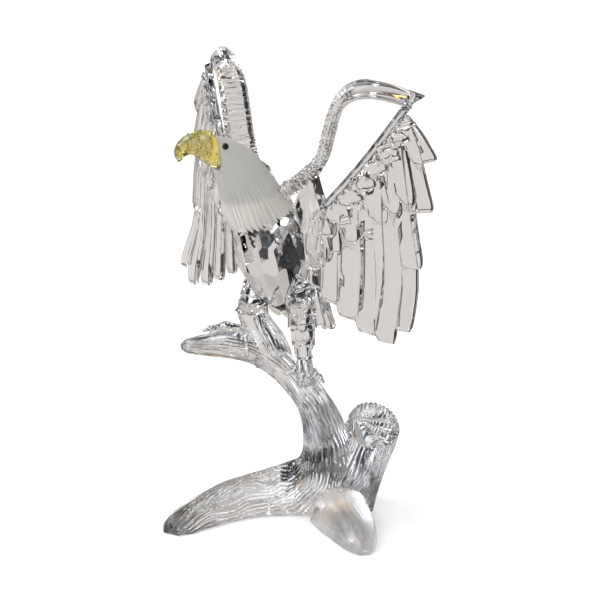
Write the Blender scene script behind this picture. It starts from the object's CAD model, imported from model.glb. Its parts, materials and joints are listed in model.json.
# %% [markdown]
# A crystal eagle on a driftwood stand
#
# The real thing is a small cast and cut figurine of clear lead crystal. Its solids come from the
# CAD part, in metres, with the eagle looking along -Y. This lesson dresses them: each cell makes
# one piece or one finish, and says why it was made that way.

# %% Load the solids
import json
import math

import bmesh
import bpy
from mathutils import Matrix, Vector, noise

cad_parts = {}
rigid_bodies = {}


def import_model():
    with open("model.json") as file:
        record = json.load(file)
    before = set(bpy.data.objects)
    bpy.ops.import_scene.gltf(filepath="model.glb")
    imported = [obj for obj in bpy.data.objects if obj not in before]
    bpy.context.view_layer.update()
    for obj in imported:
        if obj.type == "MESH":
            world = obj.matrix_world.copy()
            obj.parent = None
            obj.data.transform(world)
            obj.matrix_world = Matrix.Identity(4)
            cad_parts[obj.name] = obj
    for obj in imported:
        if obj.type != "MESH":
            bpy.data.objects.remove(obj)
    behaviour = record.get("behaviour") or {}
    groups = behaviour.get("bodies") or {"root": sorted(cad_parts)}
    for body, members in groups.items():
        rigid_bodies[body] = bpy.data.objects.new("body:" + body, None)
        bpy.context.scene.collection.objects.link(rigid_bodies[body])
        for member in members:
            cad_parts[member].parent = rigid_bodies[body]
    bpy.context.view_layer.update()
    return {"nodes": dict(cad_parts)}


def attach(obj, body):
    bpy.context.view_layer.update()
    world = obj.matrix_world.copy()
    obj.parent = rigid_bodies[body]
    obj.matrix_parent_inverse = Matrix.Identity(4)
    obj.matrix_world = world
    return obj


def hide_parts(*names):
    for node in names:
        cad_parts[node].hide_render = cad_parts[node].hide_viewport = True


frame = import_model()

nodes = frame["nodes"]
print("nodes:", sorted(nodes))

# %% [markdown]
# Colours and node helpers
#
# Colours are written as the hex values that a paint program shows. A shader works with linear
# light, so one function turns each value to linear before it is used. Another small function adds
# a node with its settings and its links, which keeps each material short enough to read. The
# settings that come back again and again get a name of their own.

# %% Colour and node helpers
COLOUR_MIX = {"data_type": "RGBA"}
NUMBER_MIX = {"data_type": "FLOAT"}
SOFT_STEP = {"interpolation_type": "SMOOTHSTEP"}
DOT = {"operation": "DOT_PRODUCT"}
MINUS = {"operation": "SUBTRACT"}
TIMES = {"operation": "MULTIPLY"}
LARGER = {"operation": "MAXIMUM"}


def linear(hex_colour):
    """A hex colour, such as #c8c4c1, as linear red, green, blue and alpha."""
    channels = [int(hex_colour[i:i + 2], 16) / 255 for i in (1, 3, 5)]
    return (*[c / 12.92 if c <= 0.04045 else ((c + 0.055) / 1.055) ** 2.4 for c in channels], 1.0)


def add_node(tree, kind, settings=None, **inputs):
    """Adds a node. Settings are its own values, stops are a ramp's places and colours.

    An input is a value or another node's output, and is called i and its number, or by its name.
    """
    node = tree.nodes.new(kind)
    for key, value in (settings or {}).items():
        if key != "stops":
            setattr(node, key, value)
            continue
        elements = node.color_ramp.elements
        while len(elements) < len(value):
            elements.new(0.5)
        for element, (position, colour) in zip(elements, value):
            element.position = position
            element.color = linear(colour)
    for key, value in inputs.items():
        numbered = key[0] == "i" and key[1:].isdigit()
        socket = node.inputs[int(key[1:]) if numbered else key.replace("_", " ")]
        if isinstance(value, bpy.types.NodeSocket):
            tree.links.new(value, socket)
        else:
            socket.default_value = value
    return node


print("mid grey #808080 in linear light:", round(linear("#808080")[0], 3))

# %% [markdown]
# See-through glass
#
# All the crystal of this figurine is one shader with other numbers. What makes it see-through is
# its transmission, its roughness and its index of refraction, and they are plain values on the
# shader. A colour or a roughness that changes over the piece is worked out from Object
# coordinates, so it stays where it is on the piece from any side.

# %% See-through glass


def glassy(name, hex_colour, roughness, ior, clearness=1.0):
    """A crystal with plain values on its shader. Returns its tree, shader and place too."""
    material = bpy.data.materials.new(name)
    material.use_nodes = True
    tree = material.node_tree
    shader = tree.nodes["Principled BSDF"]
    shader.inputs["Base Color"].default_value = linear(hex_colour)
    shader.inputs["Roughness"].default_value = roughness
    shader.inputs["IOR"].default_value = ior
    shader.inputs["Transmission Weight"].default_value = clearness
    print(f"{name}: roughness {roughness}, index {ior}, clearness {clearness}")
    return material, tree, shader, add_node(tree, "ShaderNodeTexCoord").outputs["Object"]


def rippled(tree, shader, place, scale, strength, height, detail=1.0):
    """Gives a finish a low relief: noise of this scale, this many metres high."""
    relief = add_node(tree, "ShaderNodeTexNoise", Vector=place, Scale=scale, Detail=detail)
    bump = add_node(
        tree, "ShaderNodeBump", Strength=strength, Distance=height, Height=relief.outputs["Fac"],
    )
    tree.links.new(bump.outputs["Normal"], shader.inputs["Normal"])


def distance_along(tree, place, start, heading):
    """How far a place lies beyond a start along a heading, in metres."""
    reach = add_node(tree, "ShaderNodeVectorMath", MINUS, i0=place, i1=start).outputs[0]
    return add_node(tree, "ShaderNodeVectorMath", DOT, i0=reach, i1=heading).outputs["Value"]


# %% [markdown]
# Clear crystal
#
# Lead crystal is glass with a high refractive index, about 1.54, polished by hand. It has no
# colour of its own. What the eye gets is the room bent through it, and a faint ripple where the
# casting was fire polished. The ripple is a low bump about 3 mm across.

# %% Clear crystal
CLEAR = "#f2f1f0"
POLISHED = 0.015
CRYSTAL_IOR = 1.53
RIPPLE = {"scale": 330.0, "strength": 0.25, "height": 0.0002}
clear_crystal, tree, shader, place = glassy("clear lead crystal, polished", CLEAR, POLISHED, CRYSTAL_IOR)
rippled(tree, shader, place, **RIPPLE)

# %% [markdown]
# Driftwood crystal
#
# The stand is the same clear crystal, but the end of its right root is worn: rubbed with fine grit
# until it has a satin surface, as glass from a beach has. The satin begins at a ragged line across
# the root, so its place is worked out from the distance along the root, with noise on the line.

# %% Driftwood crystal
WORN_START = (0.0125, 0.0165, 0.0)
WORN_ALONG = (0.84, -0.54, 0.0)
WORN_BELOW = 0.016
RAGGED_DEPTH = 0.004
SATIN_EDGE = (0.0018, 0.0028)
SATIN = 0.22
driftwood_crystal, tree, shader, place = glassy(
    "clear lead crystal, partly rubbed to satin", CLEAR, POLISHED, CRYSTAL_IOR,
)
rippled(tree, shader, place, **RIPPLE)
ragged = add_node(tree, "ShaderNodeTexNoise", Vector=place, Scale=420.0, Detail=2.0)
line = add_node(
    tree, "ShaderNodeMath", {"operation": "MULTIPLY_ADD"},
    i0=ragged.outputs["Fac"], i1=RAGGED_DEPTH, i2=distance_along(tree, place, WORN_START, WORN_ALONG),
)
past = add_node(
    tree, "ShaderNodeMapRange", Value=line.outputs[0],
    From_Min=SATIN_EDGE[0], From_Max=SATIN_EDGE[1], To_Min=POLISHED, To_Max=SATIN,
)
height = add_node(tree, "ShaderNodeSeparateXYZ", Vector=place).outputs["Z"]
low = add_node(tree, "ShaderNodeMath", {"operation": "LESS_THAN"}, i0=height, i1=WORN_BELOW)
matt = add_node(
    tree, "ShaderNodeMix", NUMBER_MIX, i0=low.outputs[0], i2=POLISHED, i3=past.outputs[0],
)
tree.links.new(matt.outputs[0], shader.inputs["Roughness"])

# %% [markdown]
# Frosted crystal
#
# The head and neck are the same crystal, etched with acid so that they turn milky. The lobed
# fringe at the neck's lower edge was etched less: it is warmer, and light comes through it. A plane
# across the neck parts the two, and cloudy noise keeps the matt from being the same all over.

# %% Frosted crystal
ETCH_GRAIN = 0.25
ETCH_ROUGHNESS = (0.5, 0.72)
FRINGE_ROUGHNESS = 0.32
FRINGE_TOP = (-0.0025, -0.0189, 0.1125)
FRINGE_UP = (-0.054, -0.149, 0.987)
FRINGE_SOFTNESS = 0.0008
frosted_crystal, tree, shader, place = glassy(
    "lead crystal, etched with acid", "#dcdcda", 0.6, 1.5, clearness=0.55,
)
etched = add_node(
    tree, "ShaderNodeMapRange", Value=distance_along(tree, place, FRINGE_TOP, FRINGE_UP),
    From_Min=-FRINGE_SOFTNESS, From_Max=FRINGE_SOFTNESS,
).outputs[0]
tone = add_node(
    tree, "ShaderNodeMix", COLOUR_MIX, i0=etched, i6=linear("#e9e4de"), i7=linear("#d3d3d0"),
)
tree.links.new(tone.outputs[2], shader.inputs["Base Color"])
cloud = add_node(tree, "ShaderNodeTexNoise", Vector=place, Scale=260.0, Detail=2.0)
matt = add_node(
    tree, "ShaderNodeMapRange", Value=cloud.outputs["Fac"],
    To_Min=ETCH_ROUGHNESS[0], To_Max=ETCH_ROUGHNESS[1],
)
matt = add_node(tree, "ShaderNodeMix", NUMBER_MIX, i0=etched, i2=FRINGE_ROUGHNESS, i3=matt.outputs[0])
tree.links.new(matt.outputs[0], shader.inputs["Roughness"])
rippled(tree, shader, place, 1000 / ETCH_GRAIN, 0.3, 0.0001, detail=2.0)

# %% [markdown]
# Amber crystal
#
# The beak is cast in amber glass. Its colour swims a little in streaks of a few millimetres, and
# its surface is lumpy, which breaks the light into small sparks. A colour ramp over noise gives
# the streaks, and a bump gives the finest lumps.

# %% Amber crystal
amber_crystal, tree, shader, place = glassy("amber crystal, cast", "#f6e88c", 0.05, 1.52)
streak = add_node(tree, "ShaderNodeTexNoise", Vector=place, Scale=420.0, Detail=2.0)
tint = add_node(
    tree, "ShaderNodeValToRGB", {"stops": ((0.35, "#f0da62"), (0.65, "#fdf6b8"))},
    Fac=streak.outputs["Fac"],
)
tree.links.new(tint.outputs["Color"], shader.inputs["Base Color"])
rippled(tree, shader, place, 1100.0, 0.5, 0.0002)

# %% [markdown]
# Jet crystal
#
# The eyes are beads of black glass, so dark that no light comes through. Only the gloss is left to
# see. It is a little uneven, as on any small bead that was handled.

# %% Jet crystal
jet_crystal, tree, shader, place = glassy(
    "jet crystal, polished", "#060606", 0.05, 1.5, clearness=0.0,
)
smear = add_node(tree, "ShaderNodeTexNoise", Vector=place, Scale=700.0)
gloss = add_node(tree, "ShaderNodeMapRange", Value=smear.outputs["Fac"], To_Min=0.03, To_Max=0.12)
tree.links.new(gloss.outputs[0], shader.inputs["Roughness"])

# %% [markdown]
# Millimetres, limits, angles and ways
#
# The figurine is drawn in millimetres on a grid of its own, and one function turns a place on
# that grid to metres in the frame. Three more small helpers come back in nearly every piece: a
# number kept between limits, equal angles round a ring, and the way walked along a path.

# %% Small helpers
CENTRED = Vector((0.0, -1.428, 0.0))


def metres(point):
    """A place in millimetres on the figurine's own grid, as metres in the frame."""
    return (Vector(point) + CENTRED) / 1000


def held(value, low=0.0, high=1.0):
    """A number kept between two limits."""
    return min(max(value, low), high)


def angles(count):
    """This many angles in equal steps, all the way round."""
    return [2 * math.pi * i / count for i in range(count)]


def walk(points, scale=1):
    """How far along a path each of its points lies."""
    walked = [0.0]
    for a, b in zip(points, points[1:]):
        walked.append(walked[-1] + (b - a).length * scale)
    return walked


print("the grid's origin in the frame:", [round(value, 6) for value in metres((0, 0, 0))], "m")

# %% [markdown]
# Shapes from rows of points
#
# Every cast form here is a skin over rows of points: a feather is a few dozen oval sections, a
# root is a few dozen round ones. The sections that matter are written down by hand, in
# millimetres, and a smooth curve through them gives the ones between.

# %% Curves through rows of points


def curve_through(rows, steps):
    """A smooth curve through rows of numbers, with this many steps between two rows."""
    ends = [rows[0], *rows, rows[-1]]
    result = []
    for k in range(len(rows) - 1):
        a, b, c, d = ends[k:k + 4]
        for i in range(steps):
            t = i / steps
            result.append(tuple(
                0.5 * (
                    2 * q + (r - p) * t + (2 * p - 5 * q + 4 * r - s) * t * t
                    + (3 * q - p - 3 * r + s) * t ** 3
                )
                for p, q, r, s in zip(a, b, c, d)
            ))
    result.append(tuple(rows[-1]))
    return result


def tangents(points):
    """The direction of a path at each of its points."""
    ends = [points[0], *points, points[-1]]
    return [(ends[i + 2] - ends[i]).normalized() for i in range(len(points))]


def untwisted(headings):
    """Two directions across a path at each point, carried along it without twisting."""
    first = headings[0]
    across = first.cross(Vector((0, 0, 1))) if abs(first.z) < 0.9 else Vector((1, 0, 0))
    pairs = []
    for along in headings:
        across = (across - along * across.dot(along)).normalized()
        pairs.append((across, across.cross(along)))
    return pairs


print("a curve through 3 rows in 4 steps:", curve_through(((0.0,), (1.0,), (3.0,)), 4))

# %% [markdown]
# From rings to a closed piece
#
# A skin joins ring after ring with faces, and closes both ends. Its faces are turned to point
# outwards. Its edges stay crisp where they are sharper than an angle, and smooth elsewhere.

# %% From rings to a closed piece
SMOOTH_BELOW = 40.0


def skin(name, rings, smooth_below=SMOOTH_BELOW, material=clear_crystal):
    """A closed object through rings of points in metres, with its faces pointing out."""
    bm = bmesh.new()
    rows = [[bm.verts.new(point) for point in ring] for ring in rings]
    count = len(rows[0])
    for low, high in zip(rows, rows[1:]):
        for i in range(count):
            j = (i + 1) % count
            bm.faces.new((low[i], low[j], high[j], high[i]))
    bm.faces.new(reversed(rows[0]))
    bm.faces.new(rows[-1])
    return as_piece(name, bm, smooth_below, material)


def as_piece(name, bm, smooth_below=SMOOTH_BELOW, material=clear_crystal):
    """Turns a closed bmesh into an object. Edges sharper than the angle stay crisp."""
    bmesh.ops.recalc_face_normals(bm, faces=bm.faces)
    mesh = bpy.data.meshes.new(name)
    bm.to_mesh(mesh)
    bm.free()
    mesh.materials.append(material)
    obj = bpy.data.objects.new(name, mesh)
    bpy.context.scene.collection.objects.link(obj)
    return shaded(obj, smooth_below)


def shaded(obj, smooth_below):
    """Smooth shading, but for edges sharper than an angle in degrees."""
    obj.data.polygons.foreach_set("use_smooth", [True] * len(obj.data.polygons))
    obj.data.set_sharp_from_angle(angle=math.radians(smooth_below))
    return obj


print("edges stay crisp above", SMOOTH_BELOW, "degrees")

# %% [markdown]
# Join, cut and declare
#
# Parts of one casting are joined with an exact Boolean, which leaves one closed mesh, and a seat is
# cut with the same tool. Each modifier's result is kept as the plain mesh of its piece. When a
# piece is finished, it is declared: which solid it stands for and which finish it takes.

# %% Join, cut and declare


def settled(obj):
    """Works out an object's modifiers and keeps the result as its plain mesh."""
    graph = bpy.context.evaluated_depsgraph_get()
    mesh = bpy.data.meshes.new_from_object(obj.evaluated_get(graph), depsgraph=graph)
    obj.modifiers.clear()
    old = obj.data
    obj.data = mesh
    bpy.data.meshes.remove(old)
    mesh.name = obj.name
    return obj


def carved(obj, operation, others, smooth_below=SMOOTH_BELOW):
    """Joins other solids to this one, or cuts them away, and leaves one closed mesh."""
    group = bpy.data.collections.new(f"{obj.name} {operation.lower()}")
    for other in others:
        for holder in list(other.users_collection):
            holder.objects.unlink(other)
        group.objects.link(other)
    bpy.context.scene.collection.children.link(group)
    modifier = obj.modifiers.new(operation.lower(), "BOOLEAN")
    modifier.operation = operation
    modifier.solver = "EXACT"
    modifier.operand_type = "COLLECTION"
    modifier.collection = group
    settled(obj)
    for other in others:
        bpy.data.objects.remove(other)
    bpy.data.collections.remove(group)
    return shaded(obj, smooth_below)


def dress(piece, slot_name, *node_names):
    """Declares a finished piece: it stands for these CAD nodes and takes its finish from a slot."""
    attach(piece, "root")
    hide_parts(*node_names)
    bpy.context.view_layer.update()
    triangles = sum(len(face.vertices) - 2 for face in piece.data.polygons)
    size = [round(1000 * side, 1) for side in piece.dimensions]
    print(f"{piece.name}: {triangles} triangles, {size} mm")


print("solids to dress:", len(nodes))

# %% [markdown]
# Drops of glass
#
# Small drops of glass sit in the groove along each wing's edge. All of them are one round shape,
# repeated, so Geometry Nodes set one ball on each of a list of points, stretched along the
# direction that the point carries. The drops are made a plain mesh, and then a Boolean joins them
# to their piece, as they grow out of it in the mould.

# %% Drops on points


def drops_tree():
    """The node group: a ball on each point, turned and scaled by what the point carries."""
    tree = bpy.data.node_groups.new("drops on points", "GeometryNodeTree")
    sockets = {"Points": "Geometry", "Width": "Float", "Length": "Float", "Finish": "Material"}
    for name, kind in sockets.items():
        tree.interface.new_socket(name, in_out="INPUT", socket_type=f"NodeSocket{kind}")
    tree.interface.new_socket("Drops", in_out="OUTPUT", socket_type="NodeSocketGeometry")
    start = add_node(tree, "NodeGroupInput")
    ball = add_node(tree, "GeometryNodeMeshIcoSphere", Radius=0.5, Subdivisions=2)
    heading = add_node(
        tree, "GeometryNodeInputNamedAttribute", {"data_type": "FLOAT_VECTOR"}, Name="heading",
    )
    turned = add_node(
        tree, "FunctionNodeAlignRotationToVector", {"axis": "Z"}, Vector=heading.outputs["Attribute"],
    )
    size = add_node(
        tree, "ShaderNodeCombineXYZ",
        X=start.outputs["Width"], Y=start.outputs["Width"], Z=start.outputs["Length"],
    )
    share = add_node(tree, "GeometryNodeInputNamedAttribute", {"data_type": "FLOAT"}, Name="share")
    scaled = add_node(
        tree, "ShaderNodeVectorMath", {"operation": "SCALE"},
        i0=size.outputs[0], Scale=share.outputs["Attribute"],
    )
    placed = add_node(
        tree, "GeometryNodeInstanceOnPoints",
        Points=start.outputs["Points"], Instance=ball.outputs["Mesh"],
        Rotation=turned.outputs["Rotation"], Scale=scaled.outputs["Vector"],
    )
    real = add_node(tree, "GeometryNodeRealizeInstances", Geometry=placed.outputs["Instances"])
    finished = add_node(
        tree, "GeometryNodeSetMaterial",
        Geometry=real.outputs["Geometry"], Material=start.outputs["Finish"],
    )
    add_node(tree, "NodeGroupOutput", Drops=finished.outputs["Geometry"])
    return tree


DROPS = drops_tree()
print("drops tree:", len(DROPS.nodes), "nodes")

# %% [markdown]
# Place the drops
#
# A list of spots becomes a mesh of loose points, each with its heading and its share of the full
# size as attributes. The modifier's inputs are set by their sockets' identifiers before the object
# is first worked out, and the result is kept as a plain mesh.

# %% Place the drops
DROP_SMOOTH_BELOW = 60.0


def drops(name, spots, width, length):
    """Drops of glass, sizes in mm. A spot is a place, a direction and a share of the full size."""
    mesh = bpy.data.meshes.new(name)
    mesh.from_pydata([tuple(place) for place, _, _ in spots], [], [])
    headings = mesh.attributes.new("heading", "FLOAT_VECTOR", "POINT")
    headings.data.foreach_set("vector", [value for _, heading, _ in spots for value in heading])
    shares = mesh.attributes.new("share", "FLOAT", "POINT")
    shares.data.foreach_set("value", [share for _, _, share in spots])
    obj = bpy.data.objects.new(name, mesh)
    bpy.context.scene.collection.objects.link(obj)
    modifier = obj.modifiers.new("drops", "NODES")
    modifier.node_group = DROPS
    inputs = {
        item.name: item.identifier
        for item in DROPS.interface.items_tree
        if item.item_type == "SOCKET" and item.in_out == "INPUT"
    }
    modifier[inputs["Width"]] = width / 1000
    modifier[inputs["Length"]] = length / 1000
    modifier[inputs["Finish"]] = clear_crystal
    settled(obj)
    print(f"{name}: {len(spots)} drops")
    return shaded(obj, DROP_SMOOTH_BELOW)


print("drops tree takes:", [item.name for item in DROPS.interface.items_tree if item.in_out == "INPUT"])

# %% [markdown]
# Body
#
# The body is cut, not cast: a leaning egg ground to four rows of flat facets. The solid already
# has those planes, so it is kept as it is and only gets its finish. The other pieces are ground
# to fit it, so a copy of it that is a glue line larger is made to cut them with.

# %% Body
BODY_HEIGHT = 92.5
BODY_LEAN = 20.0
GLUE_GAP = 0.3
MERGE_WITHIN = 1e-6

body = nodes["body"]
body.data.materials.clear()
body.data.materials.append(clear_crystal)
print("body:", [round(1000 * side, 1) for side in body.dimensions], "mm")


def grown_copy(source, name, gap):
    """A copy of a closed mesh with every flat side pushed out by a gap, to cut a seat with."""
    bm = bmesh.new()
    bm.from_mesh(source.data)
    bmesh.ops.remove_doubles(bm, verts=bm.verts, dist=MERGE_WITHIN)
    bmesh.ops.recalc_face_normals(bm, faces=bm.faces)
    bm.normal_update()
    moves = {vert: vert.normal * (gap / 1000 * vert.calc_shell_factor()) for vert in bm.verts}
    for vert, move in moves.items():
        vert.co += move
    return as_piece(name, bm)


# %% [markdown]
# Head
#
# The head and neck are one frosted casting, wide at the breast and narrow at the brow, and turned
# to the eagle's right. A skin over nine measured sections gives its form. Long thin locks of
# feathers run down the neck and stand out more towards the fringe, so each section has its share.

# %% Head
HEAD_TURN = 20.0
# Top ahead and up, throat ahead and up, half width, share of the locks' depth
HEAD_SECTIONS = (
    (-20.3, 2.4, -1.2, -5.0, 10.3, 1.0),
    (-19.0, 4.6, 0.5, -0.8, 10.0, 1.0),
    (-16.8, 7.6, 2.0, 4.6, 9.3, 0.7),
    (-14.1, 11.3, 3.0, 8.8, 8.3, 0.4),
    (-11.2, 15.8, 3.8, 12.4, 7.2, 0.2),
    (-7.5, 20.3, 4.0, 14.2, 6.2, 0.1),
    (-2.6, 23.6, 4.0, 14.8, 5.5, 0.0),
    (1.8, 25.4, 3.95, 15.1, 4.9, 0.0),
    (5.6, 26.4, 3.9, 15.3, 4.2, 0.0),
)
NECK_RISE = 16.125

lean = math.radians(BODY_LEAN)
lean_up = Vector((0.0, -math.sin(lean), math.cos(lean)))
neck_seat = Vector((0.0, -1.0, BODY_HEIGHT)) + lean_up * NECK_RISE
turn = math.radians(HEAD_TURN)
head_forward = Vector((-math.sin(turn), -math.cos(turn), 0.0))
head_left = Vector((math.cos(turn), -math.sin(turn), 0.0))
skull = neck_seat + Vector((-2.5, -11.0, 0.0))


def head_point(ahead, up, side=0.0):
    """A place on the head's grid: ahead of the skull, above the neck's seat, to the left."""
    return skull + head_forward * ahead + head_left * side + Vector((0, 0, up))


print("skull at:", [round(value, 1) for value in skull], "mm")

# %% [markdown]
# Locks of the neck
#
# The head's sections are rounded squares, a little fuller than an oval. Round them run forty
# locks of feathers: swells with round tops and narrow grooves between them. Noise lets the
# grooves wander, so that no two locks are the same.

# %% Locks of the neck
NECK_LOCKS = 40
LOCK_WANDER = 1.2
LOCK_ROUNDNESS = 0.7


def squarish(angle, squareness):
    """How far a rounded square reaches at an angle, as a share of its half width."""
    c, s = abs(math.cos(angle)), abs(math.sin(angle))
    return (c ** squareness + s ** squareness) ** (-1 / squareness)


def lock(angle, along):
    """The swell of the neck's locks: round tops with narrow grooves between them."""
    spot = Vector((3 * math.cos(angle), 3 * math.sin(angle), 3 * along))
    phase = NECK_LOCKS * angle / 2 + LOCK_WANDER * noise.noise(spot)
    return 2 * abs(math.sin(phase)) ** LOCK_ROUNDNESS - 1.2


print("locks round the neck:", NECK_LOCKS)

# %% [markdown]
# Rings of the head
#
# Each ring is a rounded square with the locks' swell on it. The lowest rings are pushed down along
# the neck where a lock is high, which gives the fringe its lobes. The same rings, a glue line
# larger, cut the seats of the beak, the eyes and the wings.

# %% Rings of the head
LOCK_DEPTH = 0.06
FRINGE_LENGTH = 1.5
FRINGE_STEPS = 20
HEAD_SIDES = 240
HEAD_STEPS = 8
HEAD_SQUARENESS = 2.3
neck_axis = (head_point(-11.2, 8.0) - head_point(-19.0, 2.0)).normalized()


def head_rings(grow=0.0):
    """The head's rings, or rings that lie this many mm outside it."""
    rings = []
    sections = curve_through(HEAD_SECTIONS, HEAD_STEPS)
    for k, (ahead, up, throat_ahead, throat_up, half_width, lock_share) in enumerate(sections):
        top, bottom = head_point(ahead, up), head_point(throat_ahead, throat_up)
        middle, rise = (top + bottom) / 2, (top - bottom).normalized()
        half_height = (top - bottom).length / 2
        ring = []
        for angle in angles(HEAD_SIDES):
            swell = lock(angle, k / len(sections))
            reach = squarish(angle, HEAD_SQUARENESS) * (1 + LOCK_DEPTH * lock_share * swell)
            fringe = FRINGE_LENGTH * max(1 - k / FRINGE_STEPS, 0.0) * (0.5 - swell)
            ring.append(metres(
                middle
                + neck_axis * fringe
                + rise * (math.cos(angle) * (half_height * reach + grow))
                + head_left * (math.sin(angle) * (half_width * reach + grow))
            ))
        rings.append(ring)
    return rings


head = skin("head_and_neck", head_rings(), material=frosted_crystal)
carved(head, "DIFFERENCE", [grown_copy(body, "body seat", GLUE_GAP)])
dress(head, "frosted_crystal", "head")

# %% [markdown]
# Beak
#
# A hooked beak is a skin over sections that follow its ridge round and down. Its root is a slice
# of the head's own face, so the two meet with only a glue line between them.

# %% Beak
BEAK_ROOT = head_point(4.8, 21.2)
# Ridge ahead and up, under side ahead and up, half width
BEAK_SECTIONS = (
    (4.8, 7.3, 1.8, -4.7, 4.1),
    (8.1, 6.8, 4.8, -2.3, 3.6),
    (10.8, 5.3, 7.4, -0.5, 3.0),
    (12.7, 3.5, 9.4, -0.1, 2.3),
    (13.65, 1.5, 10.7, -0.6, 1.7),
    (13.5, -0.4, 11.4, -1.4, 1.1),
    (12.7, -2.0, 11.9, -2.1, 0.4),
)
ROOT_OVERLAP = 1.14
ROOT_HALF_WIDTH = 4.2
BEAK_SIDES = 56
BEAK_STEPS = 9
BEAK_SQUARENESS = 2.4
BEAK_LUMP = 1.3
BEAK_LUMP_HEIGHT = 0.3

crown, throat = head_point(*HEAD_SECTIONS[-1][0:2]), head_point(*HEAD_SECTIONS[-1][2:4])
glue = head_left.cross(crown - throat).normalized() * GLUE_GAP
root_top = throat + (crown - throat) * ROOT_OVERLAP + glue - BEAK_ROOT
root_bottom = throat + glue - BEAK_ROOT
beak_rows = [(*root_top, *root_bottom, ROOT_HALF_WIDTH)]
for ridge_ahead, ridge_up, under_ahead, under_up, half_width in BEAK_SECTIONS:
    ridge = head_forward * ridge_ahead + Vector((0, 0, ridge_up))
    under = head_forward * under_ahead + Vector((0, 0, under_up))
    beak_rows.append((*ridge, *under, half_width))
beak_rings = []
for row in curve_through(beak_rows, BEAK_STEPS):
    top, bottom, half_width = BEAK_ROOT + Vector(row[0:3]), BEAK_ROOT + Vector(row[3:6]), row[6]
    middle = (top + bottom) / 2
    ring = []
    for angle in angles(BEAK_SIDES):
        reach = squarish(angle, BEAK_SQUARENESS)
        spot = middle + (top - middle) * (math.cos(angle) * reach)
        spot += head_left * (math.sin(angle) * half_width * reach)
        lump = noise.noise(spot / BEAK_LUMP) * BEAK_LUMP_HEIGHT * abs(math.sin(angle))
        ring.append(metres(spot + (spot - middle).normalized() * lump))
    beak_rings.append(ring)
beak = skin("hooked_beak", beak_rings, material=amber_crystal)
carved(beak, "DIFFERENCE", [skin("face seat", head_rings(grow=GLUE_GAP))])
dress(beak, "amber_crystal", "beak")

# %% [markdown]
# Eyes
#
# Each eye is a small black bead set in the side of the face, so it is a ball with the face cut
# away from it.

# %% Eyes
EYE_WIDTH = 2.6
EYE_PLACE = (3.0, 23.2, 3.5)
ahead, up, aside = EYE_PLACE
for eye_name, solid, side in (("left_eye", "eye_left", 1), ("right_eye", "eye_right", -1)):
    bm = bmesh.new()
    centre = Matrix.Translation(metres(head_point(ahead, up, aside * side)))
    bmesh.ops.create_uvsphere(bm, u_segments=32, v_segments=20, radius=EYE_WIDTH / 2000, matrix=centre)
    eye = as_piece(eye_name, bm, material=jet_crystal)
    carved(eye, "DIFFERENCE", [skin("face seat", head_rings(grow=GLUE_GAP / 2))])
    dress(eye, "jet_crystal", solid)

# %% [markdown]
# Wings
#
# Each wing is one casting: a thick ridged arm, a straight bead along the blade, and three rows of
# feathers that overlap like tiles. The feathers are drawn flat, in millimetres, and bent on to a
# sheet that sweeps back, then everything is joined into one solid as the mould did.

# %% The wing's sheet and its leading edge
# The sheet starts to sweep back at the first height, and sweeps fully this much higher
SWEEP_FROM = -20.0
SWEEP_OVER = 22.0
SWEEP_LEAST = 0.06
SWEEP_MORE = 0.94
SHEET_START = 14.7
SHEET_BACK = 1.1
BEND_FROM = 15.0
CUP = 0.0048
OUTWARD_SLOPE = 0.13
UPWARD_SLOPE = 0.07
UPWARD_BOW = 0.001


def wing_sheet(x, z):
    """How far back the wing lies at a place of its grid. The upper feathers sweep back."""
    rise = held((z - SWEEP_FROM) / SWEEP_OVER)
    sweep = SWEEP_LEAST + SWEEP_MORE * rise * rise * (3.0 - 2.0 * rise)
    cup = CUP * max(x - BEND_FROM, 0.0) ** 2 * sweep
    above = max(z - BEND_FROM, 0.0)
    outwards = OUTWARD_SLOPE * (x - SHEET_START)
    return SHEET_BACK + outwards + cup + UPWARD_SLOPE * above + UPWARD_BOW * above ** 2


def wing_point(x, y, z):
    """A place of the left wing's grid: out from the body, behind it and above its middle."""
    return metres((x, y, z + BODY_HEIGHT))


EDGE_LOW = Vector((15.0, 14.5))
EDGE_TOP = Vector((43.2, 52.8))
EDGE_BOW = 1.5


def edge_point(share, inset):
    """A place on the blade's leading edge, or as far inside the blade as inset."""
    edge = EDGE_TOP - EDGE_LOW
    inwards = Vector((edge.y, -edge.x)).normalized()
    return EDGE_LOW + edge * share + inwards * (inset + 4 * EDGE_BOW * share * (1 - share))


print("the blade's edge:", round((EDGE_TOP - EDGE_LOW).length, 1), "mm long")

# %% [markdown]
# Feathers
#
# Each feather is a thin flat pane of crystal with narrow bevels. In a thin pane the flat face
# shows the pale background, and only the bevels draw lines. Each pane is tilted a little, so that
# one long edge stands over its neighbour, which keeps the steps between feathers crisp.

# %% Feathers
FEATHER_THICKNESS = 2.6
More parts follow.
